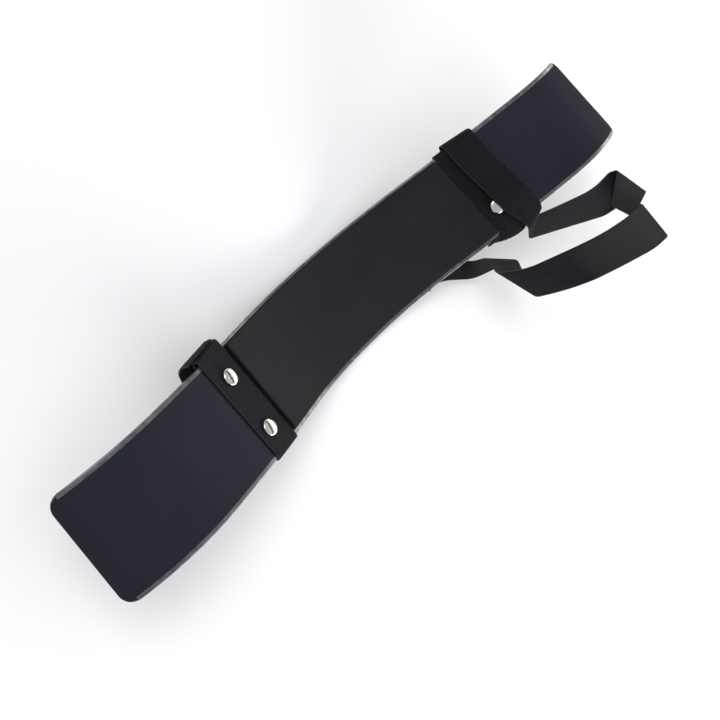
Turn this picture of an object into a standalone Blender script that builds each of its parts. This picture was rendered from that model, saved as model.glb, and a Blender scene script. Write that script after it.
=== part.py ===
"""Arm blaster: a curved aluminium plate with a belly pad, two elbow pads,
two riveted webbing bands and an adjustable neck strap.

Metres, +Z up. The plate lies belly side up, its length along X and its width along Y.
World origin: on the floor, under the middle of the plate.
"""

import math

import bmesh
import bpy
from mathutils import Matrix, Vector

# ---------------------------------------------------------------- driving sizes
GAP = 0.0003                    # clearance between neighbouring pieces
PLATE_LENGTH = 0.610            # measured along the bent sheet
PLATE_WIDTH = 0.084
PLATE_THICKNESS = 0.003
CORNER_RADIUS = 0.010
EDGE_ROUND = 0.0007
RIGHT_END_TRIM = 0.004          # the right end is cut this much shorter
END_SLANT = {"left": 0.04, "right": 0.20}       # each end runs in towards the upper edge
RIGHT_TWIST = 0.13              # the right wing is twisted by this angle at its tip

# The sheet's bend, as stretches of arc length from the middle outwards.
BELLY_ARC = 0.157 * PLATE_LENGTH        # concave towards the belly
BELLY_RADIUS = PLATE_LENGTH / 2.89
FLAT_END = 0.186 * PLATE_LENGTH         # a short flat stretch ends here
SHOULDER_END = 0.357 * PLATE_LENGTH     # a slow bend the other way ends here
SHOULDER_RADIUS = PLATE_LENGTH / 1.05
ELBOW_RADIUS = PLATE_LENGTH / 6.19      # tight bend out to the tip

WEBBING_WIDTH = 0.033
WEBBING_THICKNESS = 0.0014

PAD_THICKNESS = 0.004
PAD_INSET = 0.0018              # pad edge to plate edge
PAD_CORNER = 0.0016
BELLY_PAD_SHIFT = 0.0012        # the belly pad sits this far towards the upper edge
BELLY_PAD_HALF_WIDTH = 0.0390
BELLY_PAD_END = {"left": -0.1330, "right": 0.1330}       # its ends on the centre line
BELLY_PAD_SLANT = {"left": -0.045, "right": -0.14}       # shift along the sheet per metre of width
ELBOW_PAD_START = 0.176         # along the sheet, from its middle
ELBOW_PAD_TIP_INSET = 0.003

BAND_CENTRE = {"left": -0.1484, "right": 0.1508}
BAND_SLANT = {"left": -0.060, "right": -0.14}     # shift along the sheet per metre of width
BAND_WIDTH = {"left": 0.028, "right": 0.033}      # the left one is drawn in a little by its strap
LONG_STRETCH_STEPS = 6          # points along the long sides of a band
BAND_LINES = 5                  # lines of points across a band, so that it follows the bent plate
BAND_FIT = (0.0, 0.0, 0.0)      # slack at a band's left edge, bulge in its middle, slack at its right edge
LEFT_BAND_LOOSE = (0.0027, 0.0, 0.0050)     # past the plate's upper edge
RIGHT_BAND_LOOSE = (0.0004, 0.0060, 0.0015)     # past the plate's lower edge

RIVET_POSITION = {"left": -0.1500, "right": 0.1500}     # along the sheet
RIVET_OFFSET = {"left": 0.0223, "right": 0.0202}     # across the plate, either side of its centre line
CAP_RADIUS = 0.0063
CAP_HEIGHT = 0.0024
CAP_RIM = 0.0006
POST_RADIUS = 0.0014
POST_IN_BACK = CAP_HEIGHT * 0.35        # how far the post reaches into the far cap
SOCKET_RADIUS = 0.0026
HOLE_RADIUS = 0.0031

STRAP_LIFT = WEBBING_THICKNESS + GAP    # the plate rests on the strap that passes under it
FACE_HEIGHT = STRAP_LIFT + PLATE_THICKNESS / 2    # mid surface of the plate at its middle

# The strap runs under the plate along this line, through the world origin.
RUN_ANGLE = math.radians(-19)
RUN = Vector((math.cos(RUN_ANGLE), math.sin(RUN_ANGLE), 0))

SLIDE_CENTRE = 0.068            # along the run
SLIDE_LENGTH = 0.028
SLIDE_WIDTH = WEBBING_WIDTH + 0.008
SLIDE_HEIGHT = 0.0070
SLIDE_BASE = 0.0013
SLIDE_BAR = 0.005
SLIDE_WALL = 0.003
SLIDE_END_HEIGHT = 0.0026       # the frame beside its raised middle bar

COLLECTION = "arm_blaster"
BLACK_PAINT = ("black_paint", (0.018, 0.019, 0.022), 0.42, 0.0)
FOAM = ("black_foam", (0.026, 0.025, 0.026), 0.92, 0.0)
WEBBING = ("black_webbing", (0.012, 0.012, 0.015), 0.85, 0.0)
NICKEL = ("polished_nickel", (0.72, 0.70, 0.66), 0.14, 1.0)
PLASTIC = ("black_plastic", (0.02, 0.02, 0.02), 0.5, 0.0)


# ---------------------------------------------------------------- scene helpers
def clear_scene():
    for item in list(bpy.data.objects):
        bpy.data.objects.remove(item, do_unlink=True)


def new_collection(name):
    collection = bpy.data.collections.new(name)
    bpy.context.scene.collection.children.link(collection)
    return collection


def material(spec):
    name, colour, roughness, metallic = spec
    found = bpy.data.materials.get(name)
    if found:
        return found
    made = bpy.data.materials.new(name)
    made.use_nodes = True
    shader = made.node_tree.nodes["Principled BSDF"]
    shader.inputs["Base Color"].default_value = (*colour, 1)
    shader.inputs["Roughness"].default_value = roughness
    shader.inputs["Metallic"].default_value = metallic
    made.diffuse_color = (*colour, 1)
    return made


def add_object(name, bm, spec, collection):
    """Turn a bmesh into a named, smooth-shaded object with its own copy of a material."""
    mesh = bpy.data.meshes.new(name)
    bmesh.ops.recalc_face_normals(bm, faces=bm.faces)
    bm.to_mesh(mesh)
    bm.free()
    item = bpy.data.objects.new(name, mesh)
    mesh.materials.append(material(spec))
    mesh.shade_smooth()
    mesh.set_sharp_from_angle(angle=math.radians(35))
    collection.objects.link(item)
    return item


def sheet(place, columns, rows, closed=False):
    """An open sheet of columns x rows points; place(i, j) gives each point."""
    bm = bmesh.new()
    bmesh.ops.create_grid(bm, x_segments=columns - 1, y_segments=rows - 1, size=1)
    for vert in bm.verts:
        i = round((vert.co.x + 1) / 2 * (columns - 1))
        j = round((vert.co.y + 1) / 2 * (rows - 1))
        vert.co = place(i, j)
    if closed:
        bmesh.ops.remove_doubles(bm, verts=bm.verts, dist=1e-6)
    return bm


def thicken(item, thickness, round_edges=0.0, segments=2):
    solid = item.modifiers.new("thickness", "SOLIDIFY")
    solid.thickness = thickness
    solid.offset = 0
    solid.use_even_offset = True
    if round_edges:
        bevel = item.modifiers.new("round_edges", "BEVEL")
        bevel.width = round_edges
        bevel.segments = segments
        bevel.limit_method = "ANGLE"
        bevel.angle_limit = math.radians(50)


def cut(item, cutter):
    boolean = item.modifiers.new("cut_" + cutter.name, "BOOLEAN")
    boolean.operation = "DIFFERENCE"
    boolean.solver = "EXACT"
    boolean.object = cutter


def hide_cutter(item):
    item.hide_render = True
    item.display_type = "WIRE"


# ---------------------------------------------------------------- the bent sheet
def bend_at(s):
    """Position (x, z) and slope of the plate's mid surface at arc length s from the middle."""
    side = -1 if s < 0 else 1
    left = abs(s)
    stretches = (
        (BELLY_ARC, 1 / BELLY_RADIUS),
        (FLAT_END - BELLY_ARC, 0.0),
        (SHOULDER_END - FLAT_END, -1 / SHOULDER_RADIUS),
        (PLATE_LENGTH, -1 / ELBOW_RADIUS),
    )
    x = 0.0
    z = 0.0
    slope = 0.0
    for length, curvature in stretches:
        step = min(left, length)
        if curvature:
            turned = slope + curvature * step
            x += (math.sin(turned) - math.sin(slope)) / curvature
            z += (math.cos(slope) - math.cos(turned)) / curvature
            slope = turned
        else:
            x += step * math.cos(slope)
            z += step * math.sin(slope)
        left -= step
        if left <= 0:
            break
    return side * x, z, side * slope


def wing_reach(s):
    """How far arc length s lies along a wing, from 0 where its elbow pad starts to 1 at its tip."""
    return max(0.0, abs(s) - ELBOW_PAD_START) / (PLATE_LENGTH / 2 - ELBOW_PAD_START)


def on_plate(s, y, height):
    """World point at arc length s, across y, at a height off the plate's mid surface."""
    x, z, slope = bend_at(s)
    if s > 0:
        height -= y * RIGHT_TWIST * wing_reach(s)
    return Vector((x - height * math.sin(slope), y, FACE_HEIGHT + z + height * math.cos(slope)))


def plate_frame(s, y, height):
    """World matrix of a point on the plate, its Z axis along the plate's normal."""
    slope = bend_at(s)[2]
    return Matrix.Translation(on_plate(s, y, height)) @ Matrix.Rotation(-slope, 4, "Y")


def outline_stations(start, end, half_width, corner, spacing=0.009, corner_steps=4):
    """(s, half width) pairs along a panel with rounded corners."""
    stations = []
    for k in range(corner_steps):
        a = math.radians(90) * k / corner_steps
        stations.append((start + corner * (1 - math.cos(a)), half_width - corner * (1 - math.sin(a))))
    inner = end - start - 2 * corner
    steps = math.ceil(inner / spacing)
    for k in range(steps + 1):
        stations.append((start + corner + inner * k / steps, half_width))
    for k in range(corner_steps):
        a = math.radians(90) * (k + 1) / corner_steps
        stations.append((end - corner * (1 - math.sin(a)), half_width - corner * (1 - math.cos(a))))
    return stations


def slanted(s, y):
    """Arc length s moved along by the slant of the plate's ends, which grows along each wing."""
    if s < 0:
        return s + END_SLANT["left"] * y * wing_reach(s)
    return s - END_SLANT["right"] * y * wing_reach(s)


def bent_panel(name, start, end, half_width, corner, height, thickness, spec, collection,
               slants=(0.0, 0.0), shift=0.0, round_edges=0.0):
    """A panel that follows the bent plate at a constant height, as a closed solid.

    The slants are those of its two ends, and the shift moves it across the plate.
    """
    stations = outline_stations(start, end, half_width, corner)
    rows = 3

    def place(i, j):
        s, half = stations[i]
        y = half * (2 * j / (rows - 1) - 1) + shift
        slant = slants[0] + (slants[1] - slants[0]) * (s - start) / (end - start)
        return on_plate(slanted(s, y) + slant * y, y, height)

    item = add_object(name, sheet(place, len(stations), rows), spec, collection)
    thicken(item, thickness, round_edges)
    return item


# ---------------------------------------------------------------- webbing helpers
def rounded(points, reach, steps=5):
    """A polyline with its corners replaced by arcs that start up to reach before each corner."""
    path = [points[0].copy()]
    for before, corner, after in zip(points, points[1:], points[2:]):
        back = before - corner
        ahead = after - corner
        size = min(reach, back.length * 0.48, ahead.length * 0.48)
        first = corner + back.normalized() * size
        last = corner + ahead.normalized() * size
        half_angle = back.angle(ahead) / 2
        if half_angle > math.radians(89):
            path.extend(first.lerp(last, k / steps) for k in range(steps + 1))
            continue
        radius = size * math.tan(half_angle)
        centre = corner + (back.normalized() + ahead.normalized()).normalized() * size / math.cos(half_angle)
        turn = math.pi - 2 * half_angle
        axis = (first - centre).cross(last - centre).normalized()
        arm = (first - centre).normalized() * radius
        path.extend(centre + Matrix.Rotation(turn * k / steps, 3, axis) @ arm for k in range(steps + 1))
    path.append(points[-1].copy())
    return path


def divided(path):
    """The same path with points added along its long stretches."""
    points = []
    for a, b in zip(path, path[1:]):
        steps = LONG_STRETCH_STEPS if (b - a).length > WEBBING_WIDTH else 1
        points.extend(a.lerp(b, k / steps) for k in range(steps))
    return points + [path[-1]]


def webbing_strip(name, lines, collection, closed=False):
    """Webbing through matching lines of points, edge to edge, thickened to a closed solid."""
    def place(i, j):
        return lines[j][i]

    item = add_object(name, sheet(place, len(lines[0]), len(lines), closed), WEBBING, collection)
    thicken(item, WEBBING_THICKNESS)
    return item


def band_s(side, y):
    return BAND_CENTRE[side] + BAND_SLANT[side] * y


# ---------------------------------------------------------------- plate and pads
def build_plate(collection):
    end = PLATE_LENGTH / 2
    return bent_panel("plate", -end, end - RIGHT_END_TRIM, PLATE_WIDTH / 2, CORNER_RADIUS, 0.0,
                      PLATE_THICKNESS, BLACK_PAINT, collection, round_edges=EDGE_ROUND)


def build_pads(collection):
    """The belly pad between the bands, and an elbow pad on the far face of each wing."""
    height = PLATE_THICKNESS / 2 + GAP + PAD_THICKNESS / 2
    half_width = PLATE_WIDTH / 2 - PAD_INSET
    bent_panel("belly_pad", BELLY_PAD_END["left"], BELLY_PAD_END["right"], BELLY_PAD_HALF_WIDTH, PAD_CORNER,
               height, PAD_THICKNESS, FOAM, collection, shift=BELLY_PAD_SHIFT,
               slants=(BELLY_PAD_SLANT["left"], BELLY_PAD_SLANT["right"]))
    tip = PLATE_LENGTH / 2 - ELBOW_PAD_TIP_INSET
    corner = CORNER_RADIUS - ELBOW_PAD_TIP_INSET
    bent_panel("left_elbow_pad", -tip, -ELBOW_PAD_START, half_width, corner, -height,
               PAD_THICKNESS, FOAM, collection)
    bent_panel("right_elbow_pad", ELBOW_PAD_START, tip - RIGHT_END_TRIM, half_width, corner, -height,
               PAD_THICKNESS, FOAM, collection)


# ---------------------------------------------------------------- bands and rivets
BAND_HEIGHT = PLATE_THICKNESS / 2 + GAP + WEBBING_THICKNESS / 2
BAND_SIDE = PLATE_WIDTH / 2 + GAP + WEBBING_THICKNESS / 2


def band_route(upper_slack, lower_slack):
    """(y, height) points once round the plate, starting in the middle of its far face."""
    upper = BAND_SIDE + upper_slack
    lower = -BAND_SIDE - lower_slack
    corners = [Vector(p) for p in (
        (0, 0, -BAND_HEIGHT), (0, upper, -BAND_HEIGHT), (0, upper, BAND_HEIGHT),
        (0, lower, BAND_HEIGHT), (0, lower, -BAND_HEIGHT), (0, 0, -BAND_HEIGHT))]
    path = divided(rounded(corners, reach=BAND_HEIGHT * 0.8, steps=4))
    return [(p.y, p.z) for p in path]


def slack_at(slack, across):
    """How far a band stands off the plate's edge, across from -1 at its left edge to 1 at its right."""
    left, bulge, right = slack
    hump = max(0.0, 1 - ((across + 0.1) / 0.7) ** 2)
    return left + (right - left) * (across + 1) / 2 + bulge * hump


def build_band(side, upper_slack, lower_slack, collection):
    """A ring of webbing round the plate, tight or loose at the plate's upper and lower edge."""
    lines = []
    for k in range(BAND_LINES):
        across = 2 * k / (BAND_LINES - 1) - 1
        w = BAND_WIDTH[side] * across / 2
        route = band_route(slack_at(upper_slack, across), slack_at(lower_slack, across))
        lines.append([on_plate(band_s(side, y) + w, y, height) for y, height in route])
    webbing_strip(side + "_band", lines, collection, closed=True)


def build_bands(collection):
    build_band("left", LEFT_BAND_LOOSE, BAND_FIT, collection)
    build_band("right", BAND_FIT, RIGHT_BAND_LOOSE, collection)


def revolved(profile, segments=20):
    """A closed solid turned about Z from an (r, z) profile that starts and ends on the axis."""
    bm = bmesh.new()
    verts = [bm.verts.new((r, 0, z)) for r, z in profile]
    for a, b in zip(verts, verts[1:]):
        bm.edges.new((a, b))
    bmesh.ops.spin(bm, geom=bm.verts[:] + bm.edges[:], axis=(0, 0, 1), cent=(0, 0, 0),
                   steps=segments, angle=math.tau)
    bmesh.ops.remove_doubles(bm, verts=bm.verts, dist=1e-6)
    return bm


def dome(radius, height, rim, steps=4):
    """(r, z) profile of a domed cap from its crown out and down to its lower rim."""
    points = []
    for k in range(steps + 1):
        a = math.radians(90) * k / steps
        points.append((radius * math.sin(a), rim + (height - rim) * math.cos(a)))
    points.append((radius, 0.0))
    return points


def build_rivets(collection):
    """Double-cap rivets: a domed cap with its post, and a far cap with the socket."""
    surface = BAND_HEIGHT + WEBBING_THICKNESS / 2 + GAP
    stack = 2 * surface
    post_end = -stack - POST_IN_BACK
    cap_profile = dome(CAP_RADIUS, CAP_HEIGHT, CAP_RIM) + [
        (POST_RADIUS, 0.0), (POST_RADIUS, post_end), (0, post_end)]
    bore = POST_RADIUS + GAP
    bore_depth = POST_IN_BACK + GAP
    socket_height = stack - 4 * GAP
    back_profile = dome(CAP_RADIUS, CAP_HEIGHT, CAP_RIM) + [
        (SOCKET_RADIUS, 0.0), (SOCKET_RADIUS, -socket_height), (bore, -socket_height),
        (bore, bore_depth), (0, bore_depth)]
    for side, s in RIVET_POSITION.items():
        for place, y in (("upper", RIVET_OFFSET[side]), ("lower", -RIVET_OFFSET[side])):
            cap = add_object(f"{side}_{place}_rivet_cap", revolved(cap_profile), NICKEL, collection)
            cap.matrix_world = plate_frame(s, y, surface)
            back = add_object(f"{side}_{place}_rivet_back", revolved(back_profile), NICKEL, collection)
            back.matrix_world = plate_frame(s, y, -surface) @ Matrix.Rotation(math.pi, 4, "X")


def build_rivet_holes(cutters):
    bm = bmesh.new()
    for side, s in RIVET_POSITION.items():
        for y in (-RIVET_OFFSET[side], RIVET_OFFSET[side]):
            bmesh.ops.create_cone(bm, cap_ends=True, segments=24, radius1=HOLE_RADIUS, radius2=HOLE_RADIUS,
                                  depth=0.02, matrix=plate_frame(s, y, 0))
    holes = add_object("rivet_holes", bm, NICKEL, cutters)
    hide_cutter(holes)
    for name in ("plate", "left_band", "right_band"):
        cut(bpy.data.objects[name], holes)


# ---------------------------------------------------------------- strap
def flat_station(x, y, z, heading, roll=0.0):
    """Left and right edge points of webbing at a centre point, seen along its heading."""
    half = WEBBING_WIDTH / 2
    yaw = math.radians(heading)
    tilt = math.radians(roll)
    side = Vector((-math.sin(yaw) * math.cos(tilt), math.cos(yaw) * math.cos(tilt), math.sin(tilt)))
    centre = Vector((x, y, z))
    return centre + side * half, centre - side * half


def run_station(distance, z):
    """Edge points of webbing lying flat on the straight run under the plate."""
    centre = RUN * distance
    return flat_station(centre.x, centre.y, z, math.degrees(RUN_ANGLE))


def over_plate(left, right, height):
    """Edge points of webbing over the plate: each edge's (s, y), at a height off the plate."""
    return on_plate(*left, height), on_plate(*right, height)


def strap_from_stations(name, stations, reach, collection):
    """Loose webbing through pairs of edge points, its corners rounded."""
    left = rounded([pair[0] for pair in stations], reach)
    right = rounded([pair[1] for pair in stations], reach)
    middle = [a.lerp(b, 0.5) for a, b in zip(left, right)]
    return webbing_strip(name, (left, middle, right), collection)


LOWER_LAYER = WEBBING_THICKNESS / 2             # strap lying on the floor
IN_SLIDE = SLIDE_BASE + GAP + WEBBING_THICKNESS / 2     # lower layer inside the slide
UPPER_IN_SLIDE = IN_SLIDE + WEBBING_THICKNESS + GAP


def build_left_strap(collection):
    """From the left band's loose fold, down behind the plate and flat along the floor to the slide."""
    stations = [
        over_plate((-0.1405, 0.0497), (-0.1735, 0.0475), 0.0022),
        over_plate((-0.1415, 0.0504), (-0.1740, 0.0492), -0.0030),
        over_plate((-0.1430, 0.0488), (-0.1755, 0.0468), -0.0072),
        over_plate((-0.1420, 0.0300), (-0.1745, 0.0300), -0.0140),
        flat_station(-0.146, 0.006, 0.026, -72),
        flat_station(-0.130, -0.016, 0.011, -34),
        flat_station(-0.104, -0.020, 0.0024, 2),
        flat_station(-0.074, -0.010, LOWER_LAYER, 18),
        flat_station(-0.040, 0.006, LOWER_LAYER, 6),
        run_station(-0.004, LOWER_LAYER),
        run_station(0.030, LOWER_LAYER),
        run_station(0.048, IN_SLIDE),
        run_station(0.094, IN_SLIDE),
    ]
    return strap_from_stations("left_strap", stations, 0.012, collection)


def build_neck_strap(collection):
    """From the slide, out under the plate's lower edge, round the free loop and back over the right band."""
    def edge_pair(left, right):
        return Vector(left), Vector(right)

    layer = WEBBING_THICKNESS + GAP
    over_caps = BAND_HEIGHT + WEBBING_THICKNESS + CAP_HEIGHT + 3 * GAP
    past_edge = BAND_SIDE + layer
    stations = [
        run_station(0.048, UPPER_IN_SLIDE),
        run_station(0.083, UPPER_IN_SLIDE),
        edge_pair((0.104, -0.031, 0.011), (0.086, -0.047, 0.006)),
        edge_pair((0.109, -0.047, 0.016), (0.110, -0.063, 0.007)),
        edge_pair((0.112, -0.050, 0.037), (0.142, -0.070, 0.032)),
        edge_pair((0.092, -0.057, 0.060), (0.111, -0.096, 0.060)),
        edge_pair((0.107, -0.068, 0.074), (0.1255, -0.1036, 0.076)),
        edge_pair((0.140, -0.077, 0.088), (0.1435, -0.1105, 0.091)),
        edge_pair((0.180, -0.0885, 0.090), (0.183, -0.1215, 0.096)),
        edge_pair((0.222, -0.0975, 0.084), (0.2225, -0.1325, 0.094)),
        edge_pair((0.2585, -0.104, 0.075), (0.2495, -0.1365, 0.089)),
        edge_pair((0.264, -0.105, 0.068), (0.233, -0.087, 0.068)),
        edge_pair((0.282, -0.102, 0.066), (0.265, -0.068, 0.066)),
        edge_pair((0.248, -0.096, 0.055), (0.261, -0.066, 0.060)),
        edge_pair((0.238, -0.095, 0.050), (0.227, -0.0645, 0.066)),
        edge_pair((0.200, -0.0795, 0.041), (0.190, -0.055, 0.060)),
        edge_pair((0.155, -0.062, 0.044), (0.167, -0.0485, 0.056)),
        edge_pair((0.1495, -0.051, 0.0570), (0.1695, -0.044, 0.063)),
        edge_pair((0.148, -0.0435, 0.0565), (0.171, -0.033, 0.064)),
        over_plate((0.1518, -0.026), (0.1800, -0.024), over_caps),
        over_plate((0.1414, 0.022), (0.1700, 0.022), over_caps),
        over_plate((0.1388, past_edge + 0.0018), (0.1667, past_edge - 0.0002), over_caps - CAP_HEIGHT),
        over_plate((0.1385, past_edge + 0.0018), (0.1665, past_edge - 0.0002), -BAND_HEIGHT - layer),
        over_plate((0.1370, 0.031), (0.1660, 0.031), -BAND_HEIGHT - layer),
    ]
    return strap_from_stations("neck_strap", stations, 0.010, collection)


# ---------------------------------------------------------------- slide
def box(centre, size, bm):
    bmesh.ops.create_cube(bm, size=1, matrix=Matrix.Translation(centre) @ Matrix.Diagonal((*size, 1)))


def build_slide(collection, cutters):
    """A moulded strap slide: two low end bars under the webbing, one raised bar over it."""
    place = Matrix.Translation(RUN * SLIDE_CENTRE) @ Matrix.Rotation(RUN_ANGLE, 4, "Z")
    bm = bmesh.new()
    box((0, 0, SLIDE_HEIGHT / 2), (SLIDE_LENGTH, SLIDE_WIDTH, SLIDE_HEIGHT), bm)
    slide = add_object("strap_slide", bm, PLASTIC, collection)
    slide.matrix_world = place

    channel_top = UPPER_IN_SLIDE + WEBBING_THICKNESS / 2 + GAP
    channel_height = channel_top - SLIDE_BASE
    channel_width = SLIDE_WIDTH - 2 * SLIDE_WALL
    window = SLIDE_LENGTH - 2 * SLIDE_BAR
    end_cut = (SLIDE_LENGTH - SLIDE_BAR) / 2
    over = 0.002
    shapes = (
        ("slide_channel", (0, 0, SLIDE_BASE + channel_height / 2),
         (SLIDE_LENGTH + over, channel_width, channel_height)),
        ("slide_window", (0, 0, 0), (window, channel_width, 2 * SLIDE_BASE + over)),
        ("slide_left_end", (-SLIDE_BAR / 2 - end_cut, 0, SLIDE_END_HEIGHT + SLIDE_HEIGHT / 2),
         (end_cut * 2, SLIDE_WIDTH + over, SLIDE_HEIGHT)),
        ("slide_right_end", (SLIDE_BAR / 2 + end_cut, 0, SLIDE_END_HEIGHT + SLIDE_HEIGHT / 2),
         (end_cut * 2, SLIDE_WIDTH + over, SLIDE_HEIGHT)),
    )
    for name, centre, size in shapes:
        bm = bmesh.new()
        box(centre, size, bm)
        cutter = add_object(name, bm, PLASTIC, cutters)
        cutter.matrix_world = place
        hide_cutter(cutter)
        cut(slide, cutter)


def main():
    clear_scene()
    parts = new_collection(COLLECTION)
    cutters = new_collection("cutters")
    build_plate(parts)
    build_pads(parts)
    build_bands(parts)
    build_rivets(parts)
    build_rivet_holes(cutters)
    build_left_strap(parts)
    build_neck_strap(parts)
    build_slide(parts, cutters)


main()
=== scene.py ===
"""Looks of the arm blaster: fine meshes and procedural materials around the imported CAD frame.

Metres, +Z up, in the CAD's frame. The plate lies belly side up along X, its upper edge at +Y.
"""

import math

import bmesh
import bpy
from mathutils import Matrix, Vector, noise


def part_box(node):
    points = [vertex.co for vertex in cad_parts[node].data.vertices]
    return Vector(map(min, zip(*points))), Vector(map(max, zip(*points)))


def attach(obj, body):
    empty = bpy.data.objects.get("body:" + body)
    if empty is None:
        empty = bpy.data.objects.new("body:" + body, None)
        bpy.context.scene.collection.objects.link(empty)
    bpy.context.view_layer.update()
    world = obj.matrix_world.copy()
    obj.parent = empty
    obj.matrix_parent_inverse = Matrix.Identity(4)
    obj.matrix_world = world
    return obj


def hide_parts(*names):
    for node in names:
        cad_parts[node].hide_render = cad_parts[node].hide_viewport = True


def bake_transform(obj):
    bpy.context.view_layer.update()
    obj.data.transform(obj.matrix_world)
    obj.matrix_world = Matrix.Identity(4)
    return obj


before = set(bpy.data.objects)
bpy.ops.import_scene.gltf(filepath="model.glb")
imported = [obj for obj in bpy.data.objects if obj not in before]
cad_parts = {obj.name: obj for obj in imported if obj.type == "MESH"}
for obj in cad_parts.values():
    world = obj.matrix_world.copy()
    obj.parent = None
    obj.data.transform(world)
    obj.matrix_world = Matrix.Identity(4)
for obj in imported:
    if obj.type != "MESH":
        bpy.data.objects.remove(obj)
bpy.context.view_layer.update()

# ---------------------------------------------------------------- driving sizes, as in the CAD
GAP = 0.0003
PLATE_LENGTH = 0.610
PLATE_WIDTH = 0.084
PLATE_THICKNESS = 0.003
CORNER_RADIUS = 0.010
RIGHT_END_TRIM = 0.004
END_SLANT = {"left": 0.04, "right": 0.20}
RIGHT_TWIST = 0.13
PLATE_EDGE_ROUND = 0.0009
PLATE_MARGIN = 0.0022           # margin along the plate's long edges, coloured lighter as a painted highlight

BELLY_ARC = 0.157 * PLATE_LENGTH
BELLY_RADIUS = PLATE_LENGTH / 2.89
FLAT_END = 0.186 * PLATE_LENGTH
SHOULDER_END = 0.357 * PLATE_LENGTH
SHOULDER_RADIUS = PLATE_LENGTH / 1.05
ELBOW_RADIUS = PLATE_LENGTH / 6.19

WEBBING_WIDTH = 0.033
WEBBING_THICKNESS = 0.0014

PAD_THICKNESS = 0.004
PAD_INSET = 0.0018
PAD_CORNER = 0.0016
PAD_SKIN_ROUND = 0.0009         # rounding of a pad's free edge
PAD_BASE_ROUND = 0.0003         # rounding of the edge that is glued down
PAD_MARGIN = 0.001              # width of the outermost row of faces of a pad
BELLY_PAD_SHIFT = 0.0012        # the belly pad sits this far towards the upper edge
BELLY_PAD_HALF_WIDTH = 0.0390
BELLY_PAD_END = {"left": -0.1330, "right": 0.1330}
BELLY_PAD_SLANT = {"left": -0.045, "right": -0.14}
ELBOW_PAD_START = 0.176
ELBOW_PAD_TIP_INSET = 0.003

BAND_CENTRE = {"left": -0.1484, "right": 0.1508}
BAND_SLANT = {"left": -0.060, "right": -0.14}     # shift along the sheet per metre of width
BAND_WIDTH = {"left": 0.028, "right": 0.033}      # the left one is drawn in a little by its strap
BAND_FIT = (0.0, 0.0, 0.0)      # slack at a band's left edge, bulge in its middle, slack at its right edge
LEFT_BAND_LOOSE = (0.0027, 0.0, 0.0050)         # past the plate's upper edge
RIGHT_BAND_LOOSE = (0.0004, 0.0060, 0.0015)     # past the plate's lower edge
RIGHT_BAND_FLARE = 0.015        # the lower left corner of the right band is drawn out this far

RIVET_POSITION = {"left": -0.1500, "right": 0.1500}
RIVET_OFFSET = {"left": 0.0223, "right": 0.0202}
CAP_RADIUS = 0.0063
CAP_HEIGHT = 0.0024
CAP_RIM = 0.0006

FACE_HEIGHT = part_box("plate")[0].z + PLATE_THICKNESS / 2
BAND_HEIGHT = PLATE_THICKNESS / 2 + GAP + WEBBING_THICKNESS / 2
BAND_SIDE = PLATE_WIDTH / 2 + GAP + WEBBING_THICKNESS / 2

RUN_ANGLE = math.radians(-19)
RUN = Vector((math.cos(RUN_ANGLE), math.sin(RUN_ANGLE), 0))
SLIDE_CENTRE = 0.068
SLIDE_LENGTH = 0.028
SLIDE_WIDTH = WEBBING_WIDTH + 0.008
SLIDE_HEIGHT = 0.0070
SLIDE_BASE = 0.0013
SLIDE_BAR = 0.005
SLIDE_WALL = 0.003
SLIDE_END_HEIGHT = 0.0026       # the frame beside its raised middle bar
SLIDE_OVERLAP = 0.0004          # its bars run into its walls by half of this at each end
SLIDE_EDGE_ROUND = 0.0004

LOWER_LAYER = WEBBING_THICKNESS / 2
IN_SLIDE = SLIDE_BASE + GAP + WEBBING_THICKNESS / 2
UPPER_IN_SLIDE = IN_SLIDE + WEBBING_THICKNESS + GAP


# ---------------------------------------------------------------- the bent sheet
def bend_at(s):
    """Position (x, z) and slope of the plate's mid surface at arc length s from the middle."""
    side = -1 if s < 0 else 1
    left = abs(s)
    stretches = (
        (BELLY_ARC, 1 / BELLY_RADIUS),
        (FLAT_END - BELLY_ARC, 0.0),
        (SHOULDER_END - FLAT_END, -1 / SHOULDER_RADIUS),
        (PLATE_LENGTH, -1 / ELBOW_RADIUS),
    )
    x = 0.0
    z = 0.0
    slope = 0.0
    for length, curvature in stretches:
        step = min(left, length)
        if curvature:
            turned = slope + curvature * step
            x += (math.sin(turned) - math.sin(slope)) / curvature
            z += (math.cos(slope) - math.cos(turned)) / curvature
            slope = turned
        else:
            x += step * math.cos(slope)
            z += step * math.sin(slope)
        left -= step
        if left <= 0:
            break
    return side * x, z, side * slope


def wing_reach(s):
    """How far arc length s lies along a wing, from 0 where its elbow pad starts to 1 at its tip."""
    return max(0.0, abs(s) - ELBOW_PAD_START) / (PLATE_LENGTH / 2 - ELBOW_PAD_START)


def on_plate(s, y, height):
    """World point at arc length s, across y, at a height off the plate's mid surface."""
    x, z, slope = bend_at(s)
    if s > 0:
        height -= y * RIGHT_TWIST * wing_reach(s)
    return Vector((x - height * math.sin(slope), y, FACE_HEIGHT + z + height * math.cos(slope)))


def plate_frame(s, y, height):
    """World matrix of a point on the plate, its Z axis along the plate's normal."""
    slope = bend_at(s)[2]
    return Matrix.Translation(on_plate(s, y, height)) @ Matrix.Rotation(-slope, 4, "Y")


def slanted(s, y):
    """Arc length s moved along by the slant of the plate's ends, which grows along each wing."""
    if s < 0:
        return s + END_SLANT["left"] * y * wing_reach(s)
    return s - END_SLANT["right"] * y * wing_reach(s)


def band_s(side, y):
    return BAND_CENTRE[side] + BAND_SLANT[side] * y


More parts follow.
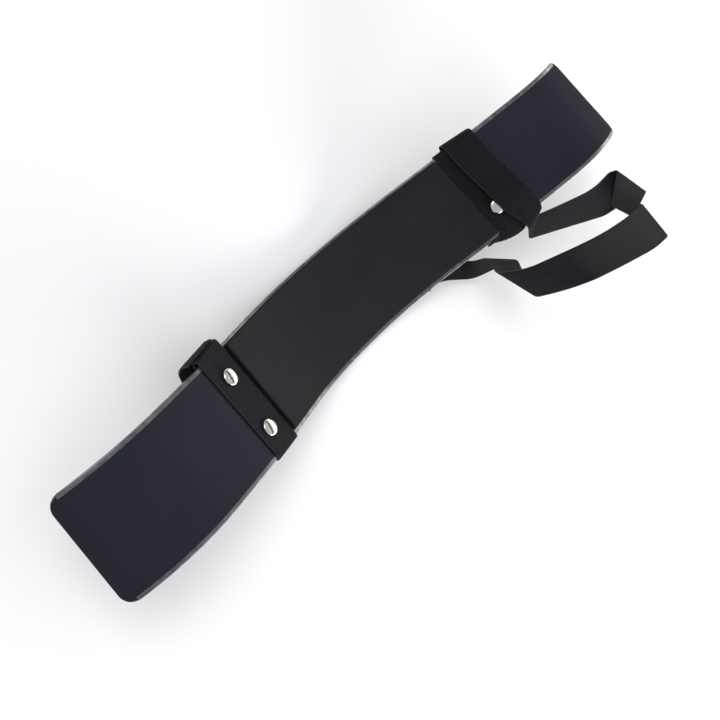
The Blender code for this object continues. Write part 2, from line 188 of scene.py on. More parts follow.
# ---------------------------------------------------------------- mesh helpers
def new_piece(name, bm, material):
    """A smooth-shaded object from a bmesh, with its material and the record's slot."""
    bmesh.ops.recalc_face_normals(bm, faces=bm.faces)
    mesh = bpy.data.meshes.new(name)
    bm.to_mesh(mesh)
    bm.free()
    mesh.shade_smooth()
    mesh.set_sharp_from_angle(angle=math.radians(50))
    piece = bpy.data.objects.new(name, mesh)
    mesh.materials.append(material)
    bpy.context.scene.collection.objects.link(piece)
    return piece


LEAST_CORNER = 0.0005           # a corner's radius never falls below this


def panel_stations(start, end, half_width, corner, spacing=0.0035, corner_steps=10):
    """(s, half width) pairs along a panel with rounded corners."""
    stations = []
    for k in range(corner_steps):
        a = math.radians(90) * k / corner_steps
        stations.append((start + corner * (1 - math.cos(a)), half_width - corner * (1 - math.sin(a))))
    inner = end - start - 2 * corner
    steps = math.ceil(inner / spacing)
    for k in range(steps + 1):
        stations.append((start + corner + inner * k / steps, half_width))
    for k in range(corner_steps):
        a = math.radians(90) * (k + 1) / corner_steps
        stations.append((end - corner * (1 - math.sin(a)), half_width - corner * (1 - math.cos(a))))
    return stations


def edge_profile(low, high, low_round, high_round, steps=4):
    """(inset, height) pairs down the side of a panel, its upper and lower edges rounded."""
    pairs = []
    for k in range(steps + 1):
        a = math.radians(90) * k / steps
        pairs.append((high_round * (1 - math.sin(a)), high - high_round * (1 - math.cos(a))))
    for k in range(steps + 1):
        a = math.radians(90) * k / steps
        pairs.append((low_round * (1 - math.cos(a)), low + low_round * (1 - math.sin(a))))
    return pairs


def bent_panel(name, start, end, half_width, corner, profile, material, slants=(0.0, 0.0),
               relief=None, rows=25, margin=0.0, shift=0.0):
    """A closed panel that follows the plate, its side given by (inset, height) pairs from the top.

    The margin is the width of the outermost row of faces, and the shift moves the panel across.
    """
    def columns_at(inset):
        radius = max(corner - inset, LEAST_CORNER)
        return panel_stations(start + inset, end - inset, half_width - inset, radius)

    count = len(columns_at(0))

    def place(inset, i, j, height):
        s, half = columns[inset][i]
        y = (half - margin) * (2 * (j - 1) / (rows - 3) - 1)
        if j in (0, rows - 1):
            y = -half if j == 0 else half
        y += shift
        if relief:
            height += relief(s, y)
        slant = slants[0] + (slants[1] - slants[0]) * (s - start) / (end - start)
        return on_plate(slanted(s, y) + slant * y, y, height)

    columns = {inset: columns_at(inset)[:count] for inset, _ in profile}
    for inset, stations in columns.items():
        assert len(stations) == count, (name, inset)
    rim = [(i, 0) for i in range(count)]
    rim += [(count - 1, j) for j in range(1, rows)]
    rim += [(i, rows - 1) for i in range(count - 2, -1, -1)]
    rim += [(0, j) for j in range(rows - 2, 0, -1)]

    bm = bmesh.new()
    faces = {}
    for part, (inset, height) in (("top", profile[0]), ("bottom", profile[-1])):
        grid = {(i, j): bm.verts.new(place(inset, i, j, height)) for i in range(count) for j in range(rows)}
        faces[part] = grid
        for i in range(count - 1):
            for j in range(rows - 1):
                bm.faces.new((grid[i, j], grid[i + 1, j], grid[i + 1, j + 1], grid[i, j + 1]))
    rings = [[faces["top"][key] for key in rim]]
    for inset, height in profile[1:-1]:
        rings.append([bm.verts.new(place(inset, i, j, height)) for i, j in rim])
    rings.append([faces["bottom"][key] for key in rim])
    for upper, lower in zip(rings, rings[1:]):
        for k in range(len(rim)):
            after = (k + 1) % len(rim)
            bm.faces.new((upper[k], upper[after], lower[after], lower[k]))
    return new_piece(name, bm, material)


def revolved(profile, segments=64):
    """A closed solid turned about Z from an (r, z) profile that starts and ends on the axis."""
    bm = bmesh.new()
    verts = [bm.verts.new((r, 0, z)) for r, z in profile]
    for a, b in zip(verts, verts[1:]):
        bm.edges.new((a, b))
    bmesh.ops.spin(bm, geom=bm.verts[:] + bm.edges[:], axis=(0, 0, 1), cent=(0, 0, 0),
                   steps=segments, angle=math.tau)
    bmesh.ops.remove_doubles(bm, verts=bm.verts, dist=1e-6)
    return bm


# ---------------------------------------------------------------- webbing
SELVAGE = 0.0011                # width of the firm edge of the webbing
SELVAGE_RIM = 0.0006            # width of its outermost part, fuzzy and coloured lighter as a painted highlight
ACROSS_STEPS = 14


def webbing_section():
    """(across, height) points round the webbing: across from -1 to 1, height off its mid surface."""
    half = WEBBING_THICKNESS / 2
    edge = 2 * half / WEBBING_WIDTH
    top = []
    for k in range(ACROSS_STEPS + 1):
        across = -(1 - edge) + 2 * (1 - edge) * k / ACROSS_STEPS
        top.append((across, half))
    rim = []
    for k in range(1, 4):
        a = math.radians(45) * k
        rim.append((1 - edge + edge * math.sin(a), half * math.cos(a)))
    bottom = [(-across, -height) for across, height in top]
    other = [(-across, -height) for across, height in rim]
    return top + rim + bottom + other


def webbing_piece(name, at, count, material, closed=False):
    """Webbing whose mid surface is at(i, across), with lengths and widths in a UV map for its weave."""
    section = webbing_section()
    lengths = [0.0]
    for i in range(1, count + (1 if closed else 0)):
        here = at(i % count, 0.0)
        lengths.append(lengths[-1] + (here - at(i - 1, 0.0)).length)

    def normal_at(i, across):
        before = i - 1
        after = i + 1
        if closed:
            before %= count
            after %= count
        else:
            before = max(before, 0)
            after = min(after, count - 1)
        along = at(after, across) - at(before, across)
        side = at(i, 1.0) - at(i, -1.0)
        if not closed:
            side = side.normalized()
        found = along.cross(side)
        return found.normalized()

    bm = bmesh.new()
    uv = bm.loops.layers.uv.new("webbing")
    rings = []
    for i in range(count):
        ring = []
        for across, height in section:
            point = at(i, across) + normal_at(i, across) * height
            ring.append(bm.verts.new(point))
        rings.append(ring)
    size = len(section)
    spans = count if closed else count - 1
    for i in range(spans):
        ahead = rings[(i + 1) % count]
        for k in range(size):
            k2 = (k + 1) % size
            face = bm.faces.new((rings[i][k], ahead[k], ahead[k2], rings[i][k2]))
            for loop, (row, column) in zip(face.loops, ((i, k), (i + 1, k), (i + 1, k2), (i, k2))):
                loop[uv].uv = (lengths[row], section[column][0] * WEBBING_WIDTH / 2)
    if not closed:
        for i, ring in ((0, rings[0]), (count - 1, rings[-1])):
            face = bm.faces.new(ring)
            for loop, (across, _) in zip(face.loops, section):
                loop[uv].uv = (lengths[i], across * WEBBING_WIDTH / 2)
    piece = new_piece(name, bm, material)
    return piece, lengths[-1]


def rounded(points, reaches, steps=8):
    """A polyline with its corners replaced by arcs that start up to each corner's reach away."""
    path = [points[0].copy()]
    for before, corner, after, reach in zip(points, points[1:], points[2:], reaches[1:]):
        back = before - corner
        ahead = after - corner
        size = min(reach, back.length * 0.49, ahead.length * 0.49)
        first = corner + back.normalized() * size
        last = corner + ahead.normalized() * size
        for k in range(steps + 1):
            t = k / steps
            path.append(first.lerp(corner, t).lerp(corner.lerp(last, t), t))
    path.append(points[-1].copy())
    return path


def refined(lefts, rights, spacing=0.003):
    """Both edge lines with points added, so that none are much further apart than the spacing."""
    new_lefts = []
    new_rights = []
    for a, b, c, d in zip(lefts, lefts[1:], rights, rights[1:]):
        steps = max(1, math.ceil(max((b - a).length, (d - c).length) / spacing))
        for k in range(steps):
            new_lefts.append(a.lerp(b, k / steps))
            new_rights.append(c.lerp(d, k / steps))
    return new_lefts + [lefts[-1]], new_rights + [rights[-1]]


def strap_piece(name, stations, material):
    """Loose webbing through (left edge, right edge, reach of the bend) stations."""
    reaches = [station[2] for station in stations]
    lefts = rounded([Vector(station[0]) for station in stations], reaches)
    rights = rounded([Vector(station[1]) for station in stations], reaches)
    lefts, rights = refined(lefts, rights)

    def at(i, across):
        return lefts[i].lerp(rights[i], (across + 1) / 2)

    return webbing_piece(name, at, len(lefts), material)


def divided(path, steps):
    """The same path with points added along its long stretches."""
    points = []
    for a, b in zip(path, path[1:]):
        pieces = steps if (b - a).length > WEBBING_WIDTH else 1
        points.extend(a.lerp(b, k / pieces) for k in range(pieces))
    return points + [path[-1]]


def slack_at(slack, across):
    """How far a band stands off the plate's edge, across from -1 at its left edge to 1 at its right."""
    left, bulge, right = slack
    hump = max(0.0, 1 - ((across + 0.1) / 0.7) ** 2)
    return left + (right - left) * (across + 1) / 2 + bulge * hump


def band_piece(side, upper_slack, lower_slack, flare, material):
    """A ring of webbing round the plate; the flare draws its lower left corner out."""
    def route(across):
        upper = BAND_SIDE + slack_at(upper_slack, across)
        lower = -BAND_SIDE - slack_at(lower_slack, across)
        corners = [Vector(p) for p in (
            (0, 0, -BAND_HEIGHT), (0, upper, -BAND_HEIGHT), (0, upper, BAND_HEIGHT),
            (0, lower, BAND_HEIGHT), (0, lower, -BAND_HEIGHT), (0, 0, -BAND_HEIGHT))]
        path = rounded(corners, [BAND_HEIGHT * 0.9] * len(corners), steps=6)
        return divided(path, 24)[:-1]

    routes = {}

    def at(i, across):
        if across not in routes:
            routes[across] = route(across)
        point = routes[across][i]
        s = band_s(side, point.y) + across * BAND_WIDTH[side] / 2
        drawn = max(0.0, -point.y - PLATE_WIDTH / 2) / (BAND_SIDE - PLATE_WIDTH / 2)
        s -= flare * min(drawn, 1.0) * max(0.0, -across)
        return on_plate(s, point.y, point.z)

    count = len(route(0.0))
    return webbing_piece(side + "_band_webbing", at, count, material, closed=True)


# ---------------------------------------------------------------- strap routes, as in the CAD
FOLD = 0.003                    # reach of a crisp fold
SOFT = 0.040                    # reach of a slow bend


def flat_station(x, y, z, heading, reach):
    """Edge points of webbing lying flat at a centre point, seen along its heading in degrees."""
    yaw = math.radians(heading)
    side = Vector((-math.sin(yaw), math.cos(yaw), 0)) * WEBBING_WIDTH / 2
    centre = Vector((x, y, z))
    return centre + side, centre - side, reach


def run_station(distance, z, reach):
    centre = RUN * distance
    return flat_station(centre.x, centre.y, z, math.degrees(RUN_ANGLE), reach)


def over_plate(left, right, height, reach):
    """Edge points of webbing over the plate: each edge's (s, y), at a height off the plate."""
    return on_plate(*left, height), on_plate(*right, height), reach


def left_strap_stations():
    """From the outer side of the left band, down behind the plate and along the floor to the slide."""
    return [
        over_plate((-0.1405, 0.0497), (-0.1735, 0.0475), 0.0022, FOLD),
        over_plate((-0.1415, 0.0504), (-0.1740, 0.0492), -0.0030, 0.002),
        over_plate((-0.1430, 0.0488), (-0.1755, 0.0468), -0.0072, FOLD),
        over_plate((-0.1420, 0.0300), (-0.1745, 0.0300), -0.0140, SOFT),
        flat_station(-0.146, 0.006, 0.026, -72, SOFT),
        flat_station(-0.130, -0.016, 0.011, -34, SOFT),
        flat_station(-0.104, -0.020, 0.0024, 2, SOFT),
        flat_station(-0.074, -0.010, LOWER_LAYER, 18, SOFT),
        flat_station(-0.040, 0.006, LOWER_LAYER, 6, SOFT),
        run_station(-0.004, LOWER_LAYER, SOFT),
        run_station(0.030, LOWER_LAYER, SOFT),
        run_station(0.048, IN_SLIDE, SOFT),
        run_station(0.094, IN_SLIDE, SOFT),
    ]


def neck_strap_stations():
    """From the slide up round the free loop, over the right band and under its far side."""
    layer = WEBBING_THICKNESS + GAP
    over_caps = BAND_HEIGHT + WEBBING_THICKNESS + CAP_HEIGHT + 3 * GAP
    past_edge = BAND_SIDE + layer
    return [
        run_station(0.048, UPPER_IN_SLIDE, SOFT),
        run_station(0.083, UPPER_IN_SLIDE, 0.010),
        ((0.104, -0.031, 0.011), (0.086, -0.047, 0.006), 0.010),
        ((0.109, -0.047, 0.016), (0.110, -0.063, 0.007), 0.008),
        ((0.112, -0.050, 0.037), (0.142, -0.070, 0.032), 0.006),
        ((0.092, -0.057, 0.060), (0.111, -0.096, 0.060), 0.005),
        ((0.107, -0.068, 0.074), (0.1255, -0.1036, 0.076), 0.012),
        ((0.140, -0.077, 0.088), (0.1435, -0.1105, 0.091), SOFT),
        ((0.180, -0.0885, 0.090), (0.183, -0.1215, 0.096), SOFT),
        ((0.222, -0.0975, 0.084), (0.2225, -0.1325, 0.094), SOFT),
        ((0.2585, -0.104, 0.075), (0.2495, -0.1365, 0.089), 0.004),
        ((0.264, -0.105, 0.068), (0.233, -0.087, 0.068), FOLD),
        ((0.282, -0.102, 0.066), (0.265, -0.068, 0.066), FOLD),
        ((0.248, -0.096, 0.055), (0.261, -0.066, 0.060), FOLD),
        ((0.238, -0.095, 0.050), (0.227, -0.0645, 0.066), SOFT),
        ((0.200, -0.0795, 0.041), (0.190, -0.055, 0.060), SOFT),
        ((0.155, -0.062, 0.044), (0.167, -0.0485, 0.056), FOLD),
        ((0.1495, -0.051, 0.0570), (0.1695, -0.044, 0.063), FOLD),
        ((0.148, -0.0435, 0.0565), (0.171, -0.033, 0.064), 0.006),
        over_plate((0.1518, -0.026), (0.1800, -0.024), over_caps, 0.008),
        over_plate((0.1414, 0.022), (0.1700, 0.022), over_caps, 0.008),
        over_plate((0.1388, past_edge + 0.0018), (0.1667, past_edge - 0.0002), over_caps - CAP_HEIGHT, FOLD),
        over_plate((0.1385, past_edge + 0.0018), (0.1665, past_edge - 0.0002), -BAND_HEIGHT - layer, FOLD),
        over_plate((0.1370, 0.031), (0.1660, 0.031), -BAND_HEIGHT - layer, FOLD),
    ]


# ---------------------------------------------------------------- materials
class Nodes:
    """A material's node tree, with short calls that add to it."""

    def __init__(self, name):
        self.material = bpy.data.materials.new(name)
        self.material.use_nodes = True
        self.tree = self.material.node_tree
        self.shader = self.tree.nodes["Principled BSDF"]

    def add(self, kind, **values):
        node = self.tree.nodes.new(kind)
        for key, value in values.items():
            setattr(node, key, value)
        return node

    def link(self, source, target):
        self.tree.links.new(source, target)

    def set(self, socket, value):
        self.shader.inputs[socket].default_value = value

    def math(self, operation, a, b=None):
        node = self.add("ShaderNodeMath", operation=operation)
        for index, value in enumerate((a, b)):
            if value is None:
                continue
            if isinstance(value, (int, float)):
                node.inputs[index].default_value = value
            else:
                self.link(value, node.inputs[index])
        return node.outputs[0]

    def coordinates(self):
        return self.add("ShaderNodeTexCoord").outputs["Object"]

    def noise(self, vector, scale, detail=4.0, roughness=0.6):
        node = self.add("ShaderNodeTexNoise")
        node.inputs["Scale"].default_value = scale
        node.inputs["Detail"].default_value = detail
        node.inputs["Roughness"].default_value = roughness
        self.link(vector, node.inputs["Vector"])
        return node.outputs["Fac"]

    def ramp(self, factor, stops):
        node = self.add("ShaderNodeValToRGB")
        elements = node.color_ramp.elements
        while len(elements) < len(stops):
            elements.new(0.5)
        for element, (position, colour) in zip(elements, stops):
            element.position = position
            element.color = (*colour, 1)
        self.link(factor, node.inputs["Fac"])
        return node.outputs["Color"]

    def mix(self, factor, first, second):
        """Two colours mixed by a factor; each may be a socket or a plain colour."""
        node = self.add("ShaderNodeMix", data_type="RGBA")
        self.link(factor, node.inputs["Factor"])
        for name, colour in (("A", first), ("B", second)):
            if isinstance(colour, tuple):
                node.inputs[name].default_value = (*colour, 1)
            else:
                self.link(colour, node.inputs[name])
        return node.outputs["Result"]

    def spread(self, factor, low, high, from_low=0.0, from_high=1.0):
        node = self.add("ShaderNodeMapRange")
        values = {"From Min": from_low, "From Max": from_high, "To Min": low, "To Max": high}
        for socket, value in values.items():
            node.inputs[socket].default_value = value
        self.link(factor, node.inputs["Value"])
        return node.outputs["Result"]

    def bump(self, height, distance, strength=1.0, normal=None):
        node = self.add("ShaderNodeBump")
        node.inputs["Distance"].default_value = distance
        node.inputs["Strength"].default_value = strength
        self.link(height, node.inputs["Height"])
        if normal is not None:
            self.link(normal, node.inputs["Normal"])
        return node.outputs["Normal"]

    def finish(self, colour=None, roughness=None, normal=None):
        for socket, source in (("Base Color", colour), ("Roughness", roughness), ("Normal", normal)):
            if source is not None:
                self.link(source, self.shader.inputs[socket])
        return self.material


def painted_plate():
    """Satin black metallic paint with fine orange peel, a little uneven, with faint dust."""
    m = Nodes("painted_plate")
    place = m.coordinates()
    cloud = m.noise(place, 9.0, 3.0, 0.5)
    dust = m.noise(place, 900.0, 2.0, 0.5)
    colour = m.ramp(cloud, [(0.3, (0.0215, 0.0220, 0.0295)), (0.7, (0.0265, 0.0270, 0.0355))])
    speck = m.spread(dust, 0.0, 1.0, 0.72, 0.80)
    colour = m.mix(speck, colour, (0.035, 0.035, 0.038))
    rough = m.spread(cloud, 0.44, 0.54, 0.3, 0.7)
    peel = m.bump(m.noise(place, 420.0, 3.0, 0.55), 0.00006, 0.5)
    m.set("Metallic", 0.75)
    m.set("Specular Tint", (0.25, 0.25, 0.28, 1))
    m.set("Specular IOR Level", 0.15)
    return m.finish(colour, rough, peel)


def painted_edge_highlight():
    """The plate's long edges: glossier paint, its colour lightened as a painted highlight along the edge."""
    m = Nodes("painted_edge_highlight")
    place = m.coordinates()
    highlight_noise = m.noise(place, 150.0, 4.0, 0.65)
    # Painted highlight: the lighter colour stands in for light caught along the edge.
    colour = m.ramp(highlight_noise, [(0.3, (0.075, 0.077, 0.083)), (0.7, (0.180, 0.183, 0.190))])
    rough = m.spread(highlight_noise, 0.38, 0.26)
    m.set("Metallic", 0.85)
    return m.finish(colour, rough, m.bump(highlight_noise, 0.00004, 0.4))


def foam_pad():
    """Closed-cell foam sheet: fine open pores on its skin, soft mottling, a few bits of lint, side faces
    darkened as painted shade.
    """
    m = Nodes("foam_pad")
    place = m.coordinates()
    cloud = m.noise(place, 22.0, 5.0, 0.6)
    grain = m.noise(place, 1500.0, 3.0, 0.6)
    colour = m.ramp(cloud, [(0.25, (0.0126, 0.0115, 0.0145)), (0.75, (0.0165, 0.0152, 0.0187))])
    lint = m.spread(m.noise(place, 330.0, 1.0, 0.4), 0.0, 1.0, 0.800, 0.82)
    colour = m.mix(lint, colour, (0.060, 0.056, 0.056))
    # Side faces darker than top and bottom: painted shade on the sides, with the cut foam there a little
    # darker than its skin.
    upward = m.add("ShaderNodeSeparateXYZ")
    m.link(m.add("ShaderNodeTexCoord").outputs["Normal"], upward.inputs["Vector"])
    skin = m.spread(m.math("ABSOLUTE", upward.outputs["Z"]), 0.0, 1.0, 0.55, 0.80)
    colour = m.mix(skin, (0.0045, 0.0042, 0.0052), colour)
    rough = m.spread(grain, 0.80, 0.98)
    pores = m.add("ShaderNodeTexVoronoi")
    pores.inputs["Scale"].default_value = 1400.0
    m.link(place, pores.inputs["Vector"])
    normal = m.bump(pores.outputs["Distance"], 0.00010, 0.5)
    normal = m.bump(m.noise(place, 120.0, 4.0, 0.6), 0.00035, 0.35, normal)
    m.set("Specular IOR Level", 0.12)
    m.set("Sheen Weight", 0.02)
    m.set("Sheen Roughness", 0.5)
    return m.finish(colour, rough, normal)


RIB_PITCH = 0.00160             # from one weft rib of the webbing to the next
YARN_PITCH = 0.0011             # from one warp yarn to the next


def webbing_material():
    """Ribbed black webbing: weft ribs across it, fine warp yarns along it, firm selvages, slight fuzz;
    painted highlight and shade on the ribs, painted highlight on the edges.
    """
    m = Nodes("webbing")
    weave = m.add("ShaderNodeUVMap", uv_map="webbing").outputs["UV"]
    split = m.add("ShaderNodeSeparateXYZ")
    m.link(weave, split.inputs["Vector"])
    along = split.outputs["X"]
    across = split.outputs["Y"]
    place = m.coordinates()
    wander = m.spread(m.noise(place, 160.0, 2.0, 0.5), -0.35, 0.35)
    yarn = m.math("MULTIPLY", across, math.tau / YARN_PITCH)
    rib = m.math("ADD", m.math("MULTIPLY", along, math.tau / RIB_PITCH), wander)
    shifted = m.math("ADD", rib, m.math("MULTIPLY", m.math("SINE", yarn), 0.9))
    ribs = m.math("SINE", shifted)
    yarns = m.math("SINE", yarn)
    relief = m.math("ADD", m.math("MULTIPLY", ribs, 0.75), m.math("MULTIPLY", yarns, 0.25))
    edge = m.math("ABSOLUTE", across)
    inner = m.spread(edge, 1.0, 0.25, WEBBING_WIDTH / 2 - SELVAGE * 1.6, WEBBING_WIDTH / 2 - SELVAGE)
    height = m.math("MULTIPLY", relief, inner)
    fuzz = m.noise(place, 2600.0, 2.0, 0.7)
    # Painted light on the ribs: crests coloured lighter as a highlight, troughs darker as shade, mixed with
    # a slow random tone.
    rib_highlight_and_shade = m.spread(relief, 0.0, 1.0, -1.0, 1.0)
    cloud = m.noise(place, 30.0, 3.0, 0.55)
    shade = m.math("ADD", m.math("MULTIPLY", rib_highlight_and_shade, 0.8), m.math("MULTIPLY", cloud, 0.2))
    colour = m.ramp(shade, [(0.30, (0.0007, 0.0007, 0.0013)), (0.75, (0.0158, 0.0158, 0.0228))])
    # The outermost selvage coloured lighter: its fuzz, and a painted highlight where the edges catch light.
    rim = m.spread(edge, 0.0, 1.0, WEBBING_WIDTH / 2 - SELVAGE_RIM, WEBBING_WIDTH / 2)
    colour = m.mix(rim, colour, (0.050, 0.051, 0.058))
    normal = m.bump(height, 0.00035, 1.0)
    normal = m.bump(fuzz, 0.00006, 0.5, normal)
    rough = m.spread(fuzz, 0.62, 0.86)
    m.set("Specular IOR Level", 0.12)
    m.set("Sheen Weight", 0.02)
    m.set("Sheen Roughness", 0.35)
    return m.finish(colour, rough, normal)


def rivet_metal():
    """Polished nickel with hairline scratches and slight dulling."""
    m = Nodes("rivet_metal")
    place = m.coordinates()
    cloud = m.noise(place, 300.0, 3.0, 0.6)
    colour = m.ramp(cloud, [(0.2, (0.50, 0.48, 0.42)), (0.8, (0.66, 0.64, 0.58))])
    rough = m.spread(m.noise(place, 1200.0, 3.0, 0.7), 0.08, 0.22)
    m.set("Metallic", 1.0)
    return m.finish(colour, rough, m.bump(cloud, 0.00003, 0.4))


def slide_plastic():
    """Moulded acetal with a fine spark-eroded grain."""
    m = Nodes("slide_plastic")
    place = m.coordinates()
    grain = m.noise(place, 1800.0, 3.0, 0.6)
    colour = m.ramp(m.noise(place, 40.0), [(0.3, (0.012, 0.012, 0.012)), (0.7, (0.019, 0.019, 0.020))])
    return m.finish(colour, m.spread(grain, 0.42, 0.62), m.bump(grain, 0.00005, 0.4))


def floor_material():
    m = Nodes("floor")
    place = m.coordinates()
    colour = m.ramp(m.noise(place, 3.0), [(0.3, (0.86, 0.86, 0.86)), (0.7, (0.88, 0.88, 0.88))])
    m.set("Specular IOR Level", 0.1)
    return m.finish(colour, m.spread(m.noise(place, 60.0), 0.85, 0.95))


# ---------------------------------------------------------------- pieces
def make_plate(material, edge_highlight_material):
    end = PLATE_LENGTH / 2
    half = PLATE_THICKNESS / 2
    profile = edge_profile(-half, half, PLATE_EDGE_ROUND, PLATE_EDGE_ROUND)
    piece = bent_panel("plate_sheet", -end, end - RIGHT_END_TRIM, PLATE_WIDTH / 2, CORNER_RADIUS,
                       profile, material, margin=PLATE_MARGIN)
    piece.data.materials.append(edge_highlight_material)
    # Faces in the margin along the long edges take the lighter edge material, a painted highlight.
    for face in piece.data.polygons:
        if abs(face.center.y) > PLATE_WIDTH / 2 - PLATE_MARGIN:
            face.material_index = 1
    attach(piece, "root")
    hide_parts("plate")


def foam_relief(s, y):
    """Slow unevenness of foam sheet, in metres."""
    return 0.00012 * noise.noise(Vector((s * 45, y * 45, 0.3)))


def make_pads(material):
    low = PLATE_THICKNESS / 2 + GAP * 0.3
    high = PLATE_THICKNESS / 2 + GAP + PAD_THICKNESS
    half_width = PLATE_WIDTH / 2 - PAD_INSET
    tip = PLATE_LENGTH / 2 - ELBOW_PAD_TIP_INSET
    corner = CORNER_RADIUS - ELBOW_PAD_TIP_INSET
    belly = edge_profile(low, high, PAD_BASE_ROUND, PAD_SKIN_ROUND)
    elbow = edge_profile(-high, -low, PAD_SKIN_ROUND, PAD_BASE_ROUND)
    slants = (BELLY_PAD_SLANT["left"], BELLY_PAD_SLANT["right"])
    square = (0.0, 0.0)
    right_tip = tip - RIGHT_END_TRIM
    pads = (
        ("belly_pad", BELLY_PAD_END["left"], BELLY_PAD_END["right"], BELLY_PAD_HALF_WIDTH, PAD_CORNER, belly,
         slants, BELLY_PAD_SHIFT),
        ("left_elbow_pad", -tip, -ELBOW_PAD_START, half_width, corner, elbow, square, 0.0),
        ("right_elbow_pad", ELBOW_PAD_START, right_tip, half_width, corner, elbow, square, 0.0),
    )
    for node, start, end, half, radius, profile, end_slants, shift in pads:
        piece = bent_panel(node + "_foam", start, end, half, radius, profile, material,
                           slants=end_slants, relief=foam_relief, margin=PAD_MARGIN, shift=shift)
        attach(piece, "root")
        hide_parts(node)


def make_webbing(material):
    bands = (
        ("left", LEFT_BAND_LOOSE, BAND_FIT, 0.0),
        ("right", BAND_FIT, RIGHT_BAND_LOOSE, RIGHT_BAND_FLARE),
    )
    for side, upper, lower, flare in bands:
        band, length = band_piece(side, upper, lower, flare, material)
        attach(band, "root")
        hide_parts(side + "_band")
    strap, length = strap_piece("left_strap_webbing", left_strap_stations(), material)
    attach(strap, "root")
    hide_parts("left_strap")
    loop, length = strap_piece("neck_strap_webbing", neck_strap_stations(), material)
    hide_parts("neck_strap")
    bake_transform(loop)


def cap_profile(steps=14):
    """(r, z) profile of a domed rivet cap: a low crown, a tight shoulder and a rolled rim."""
    points = []
    for k in range(steps + 1):
        a = math.radians(90) * k / steps
        r = CAP_RADIUS * math.sin(a) ** 0.9
        points.append((r, CAP_RIM + (CAP_HEIGHT - CAP_RIM) * math.cos(a) ** 0.8))
    return points + [(CAP_RADIUS, CAP_RIM * 0.5), (CAP_RADIUS * 0.97, 0.0), (0.0, 0.0)]


def make_rivets(material):
    surface = BAND_HEIGHT + WEBBING_THICKNESS / 2 + GAP
    for side, s in RIVET_POSITION.items():
        for place, y in (("upper", RIVET_OFFSET[side]), ("lower", -RIVET_OFFSET[side])):
            for part, height, turn in (("cap", surface, 0.0), ("back", -surface, math.pi)):
                node = f"{side}_{place}_rivet_{part}"
                piece = new_piece(node + "_dome", revolved(cap_profile()), material)
                piece.data.transform(plate_frame(s, y, height) @ Matrix.Rotation(turn, 4, "X"))
                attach(piece, "root")
                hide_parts(node)


def make_slide(material):
    """The slide's frame: two side walls, two low end bars and the raised middle bar."""
    bm = bmesh.new()
    wall_y = (SLIDE_WIDTH - SLIDE_WALL) / 2
    inner = SLIDE_WIDTH - 2 * SLIDE_WALL + SLIDE_OVERLAP
    end_x = (SLIDE_LENGTH - SLIDE_BAR) / 2
    bar_low = UPPER_IN_SLIDE + WEBBING_THICKNESS / 2 + GAP
    blocks = []
    for side in (-1, 1):
        blocks += [
            ((0, side * wall_y, SLIDE_END_HEIGHT / 2), (SLIDE_LENGTH, SLIDE_WALL, SLIDE_END_HEIGHT)),
            ((side * end_x, 0, SLIDE_BASE / 2), (SLIDE_BAR, inner, SLIDE_BASE)),
            ((0, side * wall_y, SLIDE_HEIGHT / 2), (SLIDE_BAR, SLIDE_WALL, SLIDE_HEIGHT)),
        ]
    blocks.append(((0, 0, (bar_low + SLIDE_HEIGHT) / 2), (SLIDE_BAR, inner, SLIDE_HEIGHT - bar_low)))
    for centre, size in blocks:
        bmesh.ops.create_cube(bm, size=1, matrix=Matrix.Translation(centre) @ Matrix.Diagonal((*size, 1)))
    bmesh.ops.bevel(bm, geom=bm.edges[:], offset=SLIDE_EDGE_ROUND, segments=2, affect="EDGES", profile=0.5)
    place = Matrix.Translation(RUN * SLIDE_CENTRE) @ Matrix.Rotation(RUN_ANGLE, 4, "Z")
    bmesh.ops.transform(bm, matrix=place, verts=bm.verts)
    piece = new_piece("strap_slide_moulding", bm, material)
    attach(piece, "slide")
    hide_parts("strap_slide")


# ---------------------------------------------------------------- floor, light and camera
def make_floor():
    bm = bmesh.new()
    bmesh.ops.create_grid(bm, x_segments=8, y_segments=8, size=4)
    mesh = bpy.data.meshes.new("floor")
    bm.to_mesh(mesh)
    bm.free()
    floor = bpy.data.objects.new("floor", mesh)
    floor.location.z = -0.0002
    mesh.materials.append(floor_material())
    bpy.context.scene.collection.objects.link(floor)


def area_light(name, position, target, size, power, colour=(1, 1, 1)):
    lamp = bpy.data.lights.new(name, "AREA")
    lamp.shape = "RECTANGLE"
    lamp.size = size[0]
    lamp.size_y = size[1]
    lamp.energy = power
    lamp.color = colour
    holder = bpy.data.objects.new(name, lamp)
    holder.location = position
    holder.rotation_euler = (Vector(target) - Vector(position)).to_track_quat("-Z", "Y").to_euler()
    bpy.context.scene.collection.objects.link(holder)


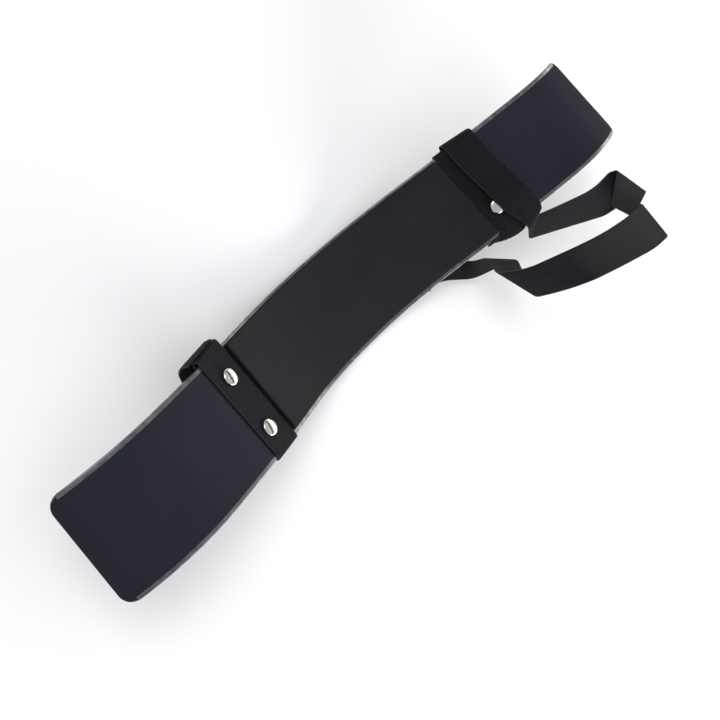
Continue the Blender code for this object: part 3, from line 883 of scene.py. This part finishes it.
def make_lights():
    world = bpy.data.worlds.new("studio")
    world.use_nodes = True
    tree = world.node_tree
    background = tree.nodes["Background"]
    split = tree.nodes.new("ShaderNodeSeparateXYZ")
    sky = tree.nodes.new("ShaderNodeValToRGB")
    warm = (0.97, 0.95, 0.86, 1)
    dark = (0.02, 0.02, 0.02, 1)
    cool = (0.93, 0.96, 1.0, 1)
    overhead = (0.66, 0.69, 0.75, 1)
    steps = ((0.36, warm), (0.40, dark), (0.52, dark), (0.56, cool), (0.90, overhead))
    while len(sky.color_ramp.elements) < len(steps):
        sky.color_ramp.elements.new(0.5)
    for element, (position, colour) in zip(sky.color_ramp.elements, steps):
        element.position = position
        element.color = colour
    tree.links.new(tree.nodes.new("ShaderNodeTexCoord").outputs["Generated"], split.inputs["Vector"])
    tree.links.new(split.outputs["Z"], sky.inputs["Fac"])
    tree.links.new(sky.outputs["Color"], background.inputs["Color"])
    background.inputs["Strength"].default_value = 1.0
    bpy.context.scene.world = world
    area_light("key", (-0.5, 1.4, 1.9), (0, 0, 0), (1.6, 1.2), 21)
    area_light("side", (1.6, -0.35, 0.42), (-0.15, 0, 0.05), (1.4, 0.55), 9, (1, 0.96, 0.88))
    area_light("low_strip", (0.3, -1.2, 0.40), (0, 0, 0.05), (1.6, 0.25), 16)


def make_camera():
    """A view from 58 degrees above the floor, the plate running up to the right."""
    camera = bpy.data.cameras.new("camera")
    camera.sensor_width = 36
    camera.lens = 49.45
    camera.clip_start = 0.01
    holder = bpy.data.objects.new("camera", camera)
    right = Vector((0.62895, -0.58106, 0.51652)).normalized()
    back = Vector((-0.47959, 0.23293, 0.84601)).normalized()
    up = back.cross(right).normalized()
    turn = Matrix((right, up, back)).transposed().to_4x4()
    holder.matrix_world = Matrix.Translation((-0.39972, 0.13647, 0.66524)) @ turn
    bpy.context.scene.collection.objects.link(holder)
    bpy.context.scene.camera = holder


def main():
    make_camera()
    make_plate(painted_plate(), painted_edge_highlight())
    make_pads(foam_pad())
    make_webbing(webbing_material())
    make_rivets(rivet_metal())
    make_slide(slide_plastic())
    make_floor()
    make_lights()
    bpy.context.scene.view_settings.view_transform = "Standard"


main()
